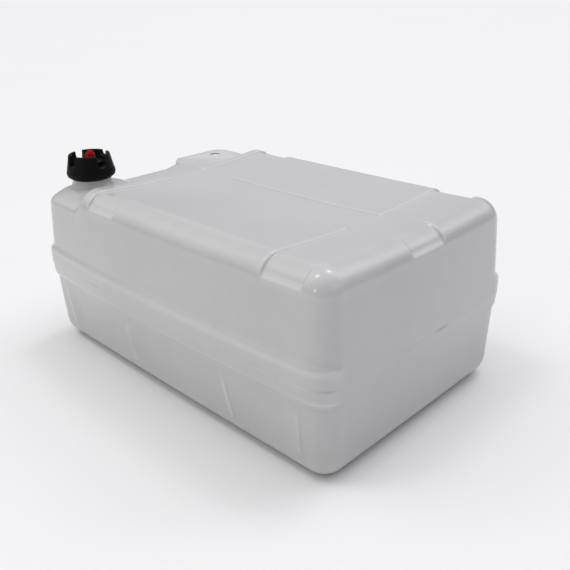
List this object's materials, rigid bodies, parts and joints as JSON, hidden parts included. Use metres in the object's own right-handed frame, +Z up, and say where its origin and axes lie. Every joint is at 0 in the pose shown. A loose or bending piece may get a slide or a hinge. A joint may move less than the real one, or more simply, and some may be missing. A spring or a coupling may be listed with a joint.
{
  "type": "fresh water tank",
  "caption": "Blow-moulded white polyethylene fresh water tank, long and low, with a strapped top, a waist band, a fixing ear and a castellated black screw cap with a red vent knob.",
  "frame": {"origin": "the middle of the tank's footprint, on the surface that it stands on", "axes": "+X along the tank's length towards its plain end, away from the cap; +Y across the tank towards the side of the fixing ear; +Z up"},
  "size_m": [0.6094, 0.406, 0.303],
  "materials": {
    "tank": "satin natural polyethylene, slightly translucent",
    "cap": "satin moulded",
    "gasket": "matte",
    "knob": "satin moulded",
    "seal": "matte"
  },
  "bodies": {
    "tank": {"tank_shell": "tank"},
    "lift": {"cap_gasket": "gasket"},
    "cap": {"cap_body": "cap"},
    "vent": {"vent_knob": "knob", "vent_o_ring": "seal"}
  },
  "joints": [
    {"name": "cap_rise", "type": "slide", "parent": "tank", "child": "lift", "axis": [0, 0, 1], "range_m": [0, 0.018]},
    {"name": "cap_turn", "type": "hinge", "parent": "lift", "child": "cap", "pos_m": [-0.253, -0.1173, 0.2615], "axis": [0, 0, 1], "range_deg": [0, 1080]},
    {"name": "vent_turn", "type": "hinge", "parent": "cap", "child": "vent", "pos_m": [-0.253, -0.1173, 0.2865], "axis": [0, 0, 1], "range_deg": [0, 90]}
  ],
  "couplings": [
    {"joint": "cap_rise", "follows": "cap_turn", "m_per_rad": 0.00095493}
  ]
}
